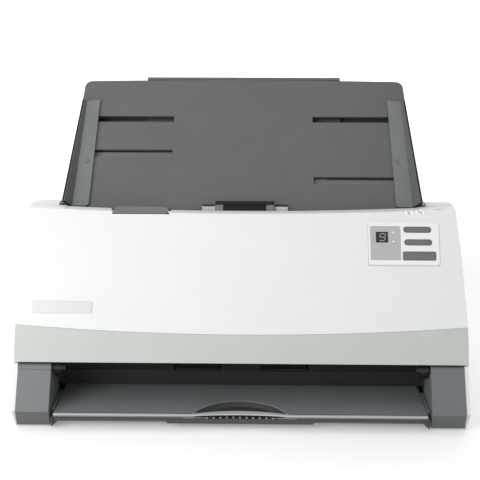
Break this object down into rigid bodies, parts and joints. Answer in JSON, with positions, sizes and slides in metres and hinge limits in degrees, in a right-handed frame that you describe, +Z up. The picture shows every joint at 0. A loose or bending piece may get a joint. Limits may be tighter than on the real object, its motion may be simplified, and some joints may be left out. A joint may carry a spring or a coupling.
{
  "type": "document scanner",
  "caption": "Upright sheet-fed document scanner with a hinged curved front cover, leaning paper chute with sliding guides, control panel and pull-out output tray.",
  "frame": {"origin": "centre of the footprint, on the desk under the feet", "axes": "+X to the right as seen from the front, +Y to the back, +Z up; the front faces -Y"},
  "size_m": [0.3186, 0.1706, 0.227],
  "materials": {
    "shell_white": "fine texture",
    "band_grey": "satin",
    "bezel_white": "satin",
    "label_grey": "satin",
    "display_black": "gloss",
    "key_grey": "satin",
    "block_grey": "fine texture",
    "tray_grey": "satin",
    "strip_silver": "satin",
    "chute_grey": "fine texture",
    "guide_grey": "satin",
    "frame_black": "satin",
    "steel": "satin",
    "gear_white": "satin",
    "roller_rubber": "matte",
    "clip_grey": "satin",
    "film_pale": "translucent film",
    "sensor_glass": "gloss",
    "circuit_board": "satin"
  },
  "bodies": {
    "base": {"base_pan": "block_grey", "rubber_feet": "roller_rubber", "side_shell_left": "shell_white", "side_shell_right": "shell_white", "rear_shell": "shell_white", "front_block_left": "block_grey", "front_block_right": "block_grey", "front_apron": "block_grey", "chassis_plate_left": "steel", "chassis_plate_right": "steel", "bushings": "gear_white", "rear_guide": "frame_black", "exit_guide": "frame_black", "rear_sensor": "frame_black", "rear_sensor_glass": "sensor_glass", "drive_motor": "steel", "main_board": "circuit_board", "rear_ports": "frame_black", "switch_frame": "frame_black"},
    "rocker": {"power_rocker": "frame_black"},
    "pick_roller": {"pick_shaft": "steel", "pick_tyre": "roller_rubber"},
    "feed_roller": {"feed_shaft": "steel", "feed_tyres": "roller_rubber"},
    "exit_roller": {"exit_shaft": "steel", "exit_tyres": "roller_rubber"},
    "upper_gear": {"upper_idler_gear": "gear_white"},
    "large_gear": {"large_idler_gear": "gear_white"},
    "motor_gear": {"motor_pinion": "gear_white"},
    "cover": {"cover_shell": "shell_white", "cover_band": "band_grey", "cover_frame": "frame_black", "hinge_arms": "frame_black", "front_sensor": "frame_black", "front_sensor_glass": "sensor_glass", "panel_bezel": "bezel_white", "panel_label": "label_grey", "display_window": "display_black", "panel_board": "circuit_board", "name_plate": "band_grey"},
    "feed_nip": {"feed_idlers": "gear_white"},
    "exit_nip": {"exit_idlers": "gear_white"},
    "key_upper": {"button_upper": "key_grey"},
    "key_lower": {"button_lower": "key_grey"},
    "key_scan": {"button_scan": "key_grey"},
    "latch": {"release_lever": "key_grey", "latch_shaft": "steel"},
    "pad": {"pad_holder": "frame_black", "pad_rubber": "roller_rubber", "pad_clips": "clip_grey", "pad_flaps": "film_pale"},
    "chute": {"chute_panel": "chute_grey", "chute_back": "chute_grey", "chute_lugs": "frame_black"},
    "extension": {"chute_extension": "chute_grey"},
    "guide_right": {"paper_guide_right": "guide_grey"},
    "guide_left": {"paper_guide_left": "guide_grey"},
    "pinion": {"rack_pinion": "gear_white"},
    "tray": {"output_tray": "tray_grey", "tray_strip": "strip_silver"}
  },
  "joints": [
    {"name": "cover_hinge", "type": "hinge", "parent": "base", "child": "cover", "pos_m": [0, -0.0668, 0.0393], "axis": [1, 0, 0], "range_deg": [0, 80]},
    {"name": "latch_turn", "type": "hinge", "parent": "cover", "child": "latch", "pos_m": [0, -0.0362, 0.1065], "axis": [1, 0, 0], "range_deg": [0, 3.5], "stiffness_Nm_per_rad": 0.4, "springref_deg": -8.59},
    {"name": "pad_swing", "type": "hinge", "parent": "cover", "child": "pad", "pos_m": [0, -0.0179, 0.1374], "axis": [1, 0, 0], "range_deg": [-6, 0], "stiffness_Nm_per_rad": 0.4, "springref_deg": 5.73},
    {"name": "upper_key_press", "type": "slide", "parent": "cover", "child": "key_upper", "axis": [0, 0.8685, -0.4957], "range_m": [0, 0.0006], "stiffness_N_per_m": 150, "springref_m": -0.001},
    {"name": "lower_key_press", "type": "slide", "parent": "cover", "child": "key_lower", "axis": [0, 0.8769, -0.4807], "range_m": [0, 0.0006], "stiffness_N_per_m": 150, "springref_m": -0.001},
    {"name": "scan_key_press", "type": "slide", "parent": "cover", "child": "key_scan", "axis": [0, 0.8855, -0.4647], "range_m": [0, 0.0006], "stiffness_N_per_m": 150, "springref_m": -0.001},
    {"name": "feed_nip_spin", "type": "hinge", "parent": "cover", "child": "feed_nip", "pos_m": [0, -0.03476, 0.09736], "axis": [1, 0, 0], "continuous": true},
    {"name": "exit_nip_spin", "type": "hinge", "parent": "cover", "child": "exit_nip", "pos_m": [0, -0.04106, 0.04074], "axis": [1, 0, 0], "continuous": true},
    {"name": "feed_spin", "type": "hinge", "parent": "base", "child": "feed_roller", "pos_m": [0, -0.02139, 0.09643], "axis": [1, 0, 0], "continuous": true},
    {"name": "pick_spin", "type": "hinge", "parent": "base", "child": "pick_roller", "pos_m": [0, -0.00891, 0.1206], "axis": [1, 0, 0], "continuous": true},
    {"name": "exit_spin", "type": "hinge", "parent": "base", "child": "exit_roller", "pos_m": [0, -0.033, 0.03268], "axis": [1, 0, 0], "continuous": true},
    {"name": "upper_gear_spin", "type": "hinge", "parent": "base", "child": "upper_gear", "pos_m": [-0.1406, -0.00537, 0.10346], "axis": [1, 0, 0], "continuous": true},
    {"name": "large_gear_spin", "type": "hinge", "parent": "base", "child": "large_gear", "pos_m": [-0.1406, -0.02156, 0.06353], "axis": [1, 0, 0], "continuous": true},
    {"name": "motor_spin", "type": "hinge", "parent": "base", "child": "motor_gear", "pos_m": [-0.1406, 0.00762, 0.04992], "axis": [1, 0, 0], "continuous": true},
    {"name": "power_rock", "type": "hinge", "parent": "base", "child": "rocker", "pos_m": [-0.112, 0.08275, 0.027], "axis": [0, 0, 1], "range_deg": [0, 14]},
    {"name": "chute_lift", "type": "slide", "parent": "base", "child": "chute", "axis": [0, 0.6704, 0.742], "range_m": [0, 0.022]},
    {"name": "extension_pull", "type": "slide", "parent": "chute", "child": "extension", "axis": [0, 0.6704, 0.742], "range_m": [0, 0.06]},
    {"name": "guide_right_slide", "type": "slide", "parent": "chute", "child": "guide_right", "axis": [-1, 0, 0], "range_m": [0, 0.06]},
    {"name": "guide_left_slide", "type": "slide", "parent": "chute", "child": "guide_left", "axis": [1, 0, 0], "range_m": [0, 0.06]},
    {"name": "pinion_turn", "type": "hinge", "parent": "chute", "child": "pinion", "pos_m": [0, 0.014, 0.16723], "axis": [0, -0.742, 0.6704], "range_deg": [-435, 5]},
    {"name": "tray_pull", "type": "slide", "parent": "base", "child": "tray", "axis": [0, -1, 0], "range_m": [0, 0.08]}
  ],
  "couplings": [
    {"joint": "pick_spin", "follows": "feed_spin", "ratio": 1},
    {"joint": "upper_gear_spin", "follows": "feed_spin", "ratio": -1.0833},
    {"joint": "large_gear_spin", "follows": "feed_spin", "ratio": -0.38235},
    {"joint": "exit_spin", "follows": "feed_spin", "ratio": 1},
    {"joint": "motor_spin", "follows": "feed_spin", "ratio": 1.0833},
    {"joint": "guide_left_slide", "follows": "guide_right_slide", "ratio": 1},
    {"joint": "pinion_turn", "follows": "guide_right_slide", "rad_per_m": -125}
  ]
}
